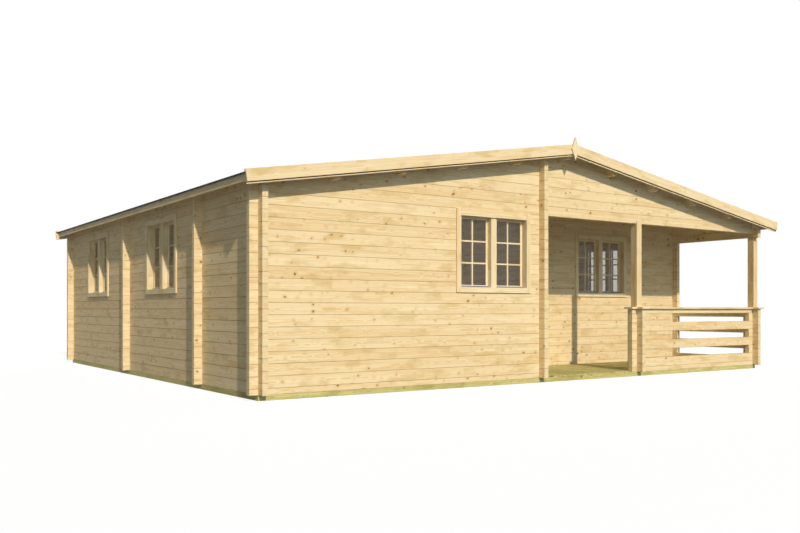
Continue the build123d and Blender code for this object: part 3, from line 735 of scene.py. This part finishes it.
# Roof. Along a slope, the height over the wall corner is eave height + distance * tan(pitch)
roof = {
    "pitch": math.radians(9.25), "eave": 0.186, "gable": 0.235, "gap": 0.0005,
    "board": 0.027, "boardWide": 0.0902, "boardGap": 0.0006,
    "felt": 0.004, "drip": 0.020, "lip": 0.018, "sheet": 1.000, "lap": 0.080, "cap": 0.160, "capLift": 0.0125,
    # The black strip under the bargeboards sized here stands in for the shadow in the gap: painted shadow
    "bargeHigh": 0.136, "bargeThick": 0.020, "bargeReach": 0.047, "lift": 0.050, "gapShadowHigh": 0.009,
    "gapShadowThick": 0.003, "batten": 0.020, "bargeBatten": 0.112, "edgeBatten": 0.044, "eaveBatten": 0.060,
    "fascia": 0.094, "fasciaThick": 0.018,
}
slope, cosine, sine = math.tan(roof["pitch"]), math.cos(roof["pitch"]), math.sin(roof["pitch"])
ridgeX = houseSize[0] / 2
ridgeZ = (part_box("roof_boards")[1][2] - roof["board"] / cosine) + roof["gap"] / 2 * slope
eaveZ = ridgeZ - ridgeX * slope
roofFront, roofBack = -roof["gable"], houseSize[1] + roof["gable"]
eaveEdge = -roof["eave"]
fasciaEdge = eaveEdge - roof["gap"] - roof["fasciaThick"]
bargeEnd = fasciaEdge - roof["bargeReach"]
feltTop = (roof["board"] + roof["felt"]) / cosine + roof["gap"]


# A board along both slopes from x to the ridge; lift is its middle over the roof's underside, measured upright
def slopeBoards(x, lift, high, y0, y1, skewEave=slope):
    end = ridgeX - roof["gap"] / 2
    z = eaveZ + x * slope + lift
    long = (end - x) / cosine
    y = (y0 + y1) / 2
    size = [long, high, y1 - y0, skewEave, slope]
    return [[x, y, z, cosine, 0, sine, -sine, 0, cosine] + size,
            [2 * ridgeX - x, y, z, -cosine, 0, sine, sine, 0, cosine] + size]


# Bargeboards close the gables, with a batten behind their lower edge and one on the felt
bargeMiddle = roof["lift"] - roof["bargeHigh"] / cosine / 2
bargeFront = (roofFront - roof["gap"] - roof["bargeThick"], roofFront - roof["gap"])
bargeBack = (roofBack + roof["gap"], roofBack + roof["gap"] + roof["bargeThick"])
for seed, (side, ends) in enumerate((("front", bargeFront), ("back", bargeBack))):
    bargeRows = slopeBoards(bargeEnd, bargeMiddle, roof["bargeHigh"], *ends, 0.0)
    boards(f"{side}Bargeboards", bargeRows, planedBoards, [f"{side}_bargeboards"], edge=0.003,
           seed=71 + seed)
battenHigh = (roof["bargeBatten"] - roof["gap"]) * cosine
battenMiddle = -(roof["bargeBatten"] + roof["gap"]) / 2
bargeFoot = bargeEnd + roof["bargeHigh"] / 2 * sine
edgeLow, edgeTop, edgeWide = feltTop + roof["gap"], roof["lift"], roof["edgeBatten"]
edgeMiddle, edgeHigh = (edgeLow + edgeTop) / 2, (edgeTop - edgeLow) * cosine
battenRows = []
for y0 in (roofFront, roofBack - roof["batten"]):
    battenRows += slopeBoards(bargeFoot, battenMiddle, battenHigh, y0, y0 + roof["batten"])
for y0 in (roofFront, roofBack - edgeWide):
    battenRows += slopeBoards(bargeEnd, edgeMiddle, edgeHigh, y0, y0 + edgeWide)
boards("bargeBattens", battenRows, planedBoards, ["barge_battens"], edge=0.003, seed=73)

# A thin black felt strip under each bargeboard stands in for the shadow in the gap there: painted shadow
gapShadowMiddle = roof["lift"] - (roof["bargeHigh"] + roof["gapShadowHigh"] / 2) / cosine - roof["gap"]
gapShadowRows = []
for y0 in (bargeFront[1] - roof["gapShadowThick"], bargeBack[0]):
    gapShadowRows += slopeBoards(bargeFoot, gapShadowMiddle, roof["gapShadowHigh"], y0, y0 + roof["gapShadowThick"])
boards("gapShadowStrips", gapShadowRows, roofingFelt, edge=0.0005, seed=78)

# Purlins: a section with its top cut to the roof's slope, carried from gable to gable and ending in the
# shade of the eaves
purlin = {"perSide": 4, "wide": 0.060, "high": 0.140, "inset": 0.058}


def purlinRows(p):
    half, y0 = p["wide"] / 2, roofFront + roof["batten"] + p["inset"]
    rows, outlines = [], []
    for x in ridgeX + np.arange(-p["perSide"], p["perSide"] + 1) * ridgeX / (p["perSide"] + 1):
        foot = ridgeZ - abs(x - ridgeX) * slope - p["high"]
        edges = x + np.array([-half, 0.0, half])
        left, middle, right = ridgeZ - abs(edges - ridgeX) * slope - roof["gap"] - foot
        size = [houseSize[1] - 2 * y0, p["wide"], p["high"], 0, 0]
        rows.append([x, y0, foot, 0, 1, 0, -1, 0, 0] + size)
        outlines.append([(half, 0.0), (half, left), (0.0, middle), (-half, right), (-half, 0.0)])
    return rows, outlines


timbers, outlines = purlinRows(purlin)
boards("purlinTimbers", timbers, planedBoards, ["purlins"], outline=outlines, seed=79)

# Fascia boards close the eaves, with a batten behind each
fasciaTop = eaveZ + eaveEdge * slope + roof["board"] / cosine - roof["fasciaThick"] * slope
battenTop = eaveZ + eaveEdge * slope
battenFront = roofFront + roof["batten"] + roof["gap"]
battenBack = houseSize[1] - battenFront
eaveRows = []
for side in (0, 1):
    a, b = fasciaEdge, eaveEdge - roof["gap"]
    c, d = eaveEdge, eaveEdge + roof["batten"]
    if side:
        a, b, c, d = 2 * ridgeX - b, 2 * ridgeX - a, 2 * ridgeX - d, 2 * ridgeX - c
    eaveRows.append(plank((a, battenFront, fasciaTop - roof["fascia"]), (b, battenBack, fasciaTop), "y"))
    eaveRows.append(plank((c, battenFront, battenTop - roof["eaveBatten"]),
                          (d, battenBack, battenTop - roof["gap"]), "y"))
boards("eaveBoards", eaveRows, planedBoards, ["eave_boards"], edge=0.003, seed=74)


# Roof boards lie side by side up each slope
def roofBoards(r):
    count = round((roofBack - roofFront) / r["boardWide"])
    lines = np.linspace(roofFront, roofBack, count + 1)
    long = (ridgeX - r["gap"] / 2 - eaveEdge) / cosine
    z = eaveZ + eaveEdge * slope + r["board"] / cosine / 2
    size = [long, lines[1] - lines[0] - r["boardGap"], r["board"], 0, 0]
    rows = []
    for y in (lines[:-1] + lines[1:]) / 2:
        rows.append([eaveEdge, y, z, cosine, 0, sine, 0, -1, 0] + size)
        rows.append([2 * ridgeX - eaveEdge, y, z, -cosine, 0, sine, 0, 1, 0] + size)
    return rows


boards("roofBoards", roofBoards(roof), spruceBoards, ["roof_boards"], edge=0.0035, seed=75)


# Felt sheets run along the eaves, each lapping the one below, and a folded strip covers the ridge
def feltSheets(r):
    first = fasciaEdge - r["drip"]
    total = (ridgeX - r["gap"] / 2 - first) / cosine
    starts = np.arange(0, total - r["lap"], r["sheet"] - r["lap"])
    rows = []
    for number, s in enumerate(starts):
        wide = min(r["sheet"], total - s)
        tilt = r["felt"] / wide if number else 0.0
        out = s + wide / 2
        up = r["felt"] if number else r["felt"] / 2
        x = first + out * cosine
        z = eaveZ + x * slope + r["board"] / cosine + r["gap"] + up / cosine
        turn = r["pitch"] - tilt
        c, t = math.cos(turn), math.sin(turn)
        size = [roofBack - roofFront, wide, r["felt"], 0, 0]
        rows.append([x, roofFront, z, 0, 1, 0, -c, 0, -t] + size)
        rows.append([2 * ridgeX - x, roofBack, z, 0, -1, 0, c, 0, -t] + size)
    lipTop = eaveZ + first * slope + feltTop
    for x in (first, 2 * ridgeX - first - r["felt"]):
        rows.append(plank((x, roofFront, lipTop - r["lip"]), (x + r["felt"], roofBack, lipTop), "y"))
    return rows


boards("feltSheets", feltSheets(roof), roofingFelt, ["roof_felt"], edge=0.001, seed=76)
cap, capDrop, capThick = roof["cap"], roof["cap"] * slope, roof["felt"]
capOutline = [(cap, -capDrop), (0.0, capThick), (-cap, -capDrop), (-cap, -capDrop - capThick), (0.0, 0.0),
              (cap, -capDrop - capThick)]
capRow = [ridgeX, roofFront + edgeWide, ridgeZ + roof["board"] / cosine + roof["capLift"], 0, 1, 0, -1, 0, 0,
          roofBack - roofFront - 2 * edgeWide, 2 * cap, capThick, 0, 0]
boards("ridgeFelt", [capRow], roofingFelt, outline=capOutline, seed=77)
print("roof done")

# Stage: a wide pale floor, white to the camera, that still takes the house's shadow
stage = {
    "reach": 160.0, "cells": 8, "drop": 0.002, "albedo": (0.19, 0.2, 0.21, 1.0), "seenAlbedo": 0.18,
    "glow": 0.875, "sky": (0.125, 0.14, 0.15),
    "sun": 2.76, "sunSize": 1.0, "sunWay": (0.213, 1.0, -0.64), "sunColour": (1.0, 0.923, 0.828),
    "fill": 1.05, "fillSize": 60.0, "fillWay": (0.21, 1.0, -0.25), "fillColour": (0.64, 0.82, 1.0),
    "back": 1.45, "backSize": 25.0, "backWay": (-0.8, -1.0, -0.3), "backColour": (1.0, 0.98, 0.94),
}
grid = np.linspace(-stage["reach"], stage["reach"], stage["cells"] + 1)
gx, gy = np.meshgrid(grid, grid, indexing="ij")
groundPoints = np.stack([gx, gy, 0 * gx - stage["drop"]], -1).reshape(-1, 3)
index = np.arange(groundPoints.shape[0]).reshape(gx.shape)
groundFaces = np.stack([index[:-1, :-1], index[1:, :-1], index[1:, 1:], index[:-1, 1:]], -1).reshape(-1, 4)
groundMesh = bpy.data.meshes.new("studioFloor")
groundMesh.from_pydata(groundPoints.tolist(), [], groundFaces.tolist())
ground = bpy.data.objects.new("studioFloor", groundMesh)
scene.collection.objects.link(ground)


# One where the camera, a reflection or a pane looks, else zero
def seenRays(flow):
    rays = flow.make("ShaderNodeLightPath", {}, {})
    reflected = rays.pick("Is Glossy Ray") + rays.pick("Is Transmission Ray")
    return (rays.pick("Is Camera Ray") + reflected).clamped()


groundFinish, flow, shader = newFinish("studioFloor", {"Roughness": 1.0, "Specular IOR Level": 0.0})
seen = seenRays(flow)
grey, bright = stage["albedo"], (stage["seenAlbedo"],) * 3 + (1.0,)
glow = (stage["glow"],) * 3 + (1.0,)
feed(flow, shader, {"Base Color": flow.blend(seen, grey, bright),
                    "Emission Color": flow.blend(seen, (0.0, 0.0, 0.0, 1.0), glow)})
shader.inputs["Emission Strength"].default_value = 1.0
groundMesh.materials.append(groundFinish)

world = bpy.data.worlds.new("studio")
scene.world = world
world.use_nodes = True
flow = Flow(world.node_tree)
backdrop = world.node_tree.nodes["Background"]
sky = flow.blend(seenRays(flow), stage["sky"] + (1.0,), (1.0, 1.0, 1.0, 1.0))
world.node_tree.links.new(sky.socket, backdrop.inputs["Color"])


# A far lamp that shines along a way, with the stage's values for it
def farLamp(name, part):
    light = bpy.data.lights.new(name, "SUN")
    light.energy = stage[part]
    light.color = stage[f"{part}Colour"]
    light.angle = math.radians(stage[f"{part}Size"])
    lamp = bpy.data.objects.new(name, light)
    way = np.array(stage[f"{part}Way"])
    way = way / np.linalg.norm(way)
    lamp.rotation_euler = (math.acos(-way[2]), 0.0, math.atan2(way[1], way[0]) - math.pi / 2)
    scene.collection.objects.link(lamp)
    return light


sunLight = farLamp("sun", "sun")
sunLight.cycles.max_bounces = 1
skyFill = farLamp("skyFill", "fill")
skyFill.use_shadow = False  # soft daylight that reaches under the eaves and indoors
backFill = farLamp("backFill", "back")
backFill.cycles.max_bounces = 0  # it lights only the sides away from the sun

# Level camera in front of the left corner
view = {"place": (-8.5526, -12.5754, 0.9996), "turn": math.radians(34.45), "focal": 846.11, "horizon": 309.53,
        "wide": 800, "high": 533, "sensor": 36.0, "far": 1000.0}
lens = bpy.data.cameras.new("camera")
lens.sensor_width = view["sensor"]
lens.lens = view["sensor"] * view["focal"] / view["wide"]
lens.shift_y = (view["horizon"] - view["high"] / 2) / view["wide"]
lens.clip_end = view["far"]
camera = bpy.data.objects.new("camera", lens)
camera.location = view["place"]
camera.rotation_euler = (math.pi / 2, 0.0, -view["turn"])
scene.collection.objects.link(camera)
scene.camera = camera
print("stage done")
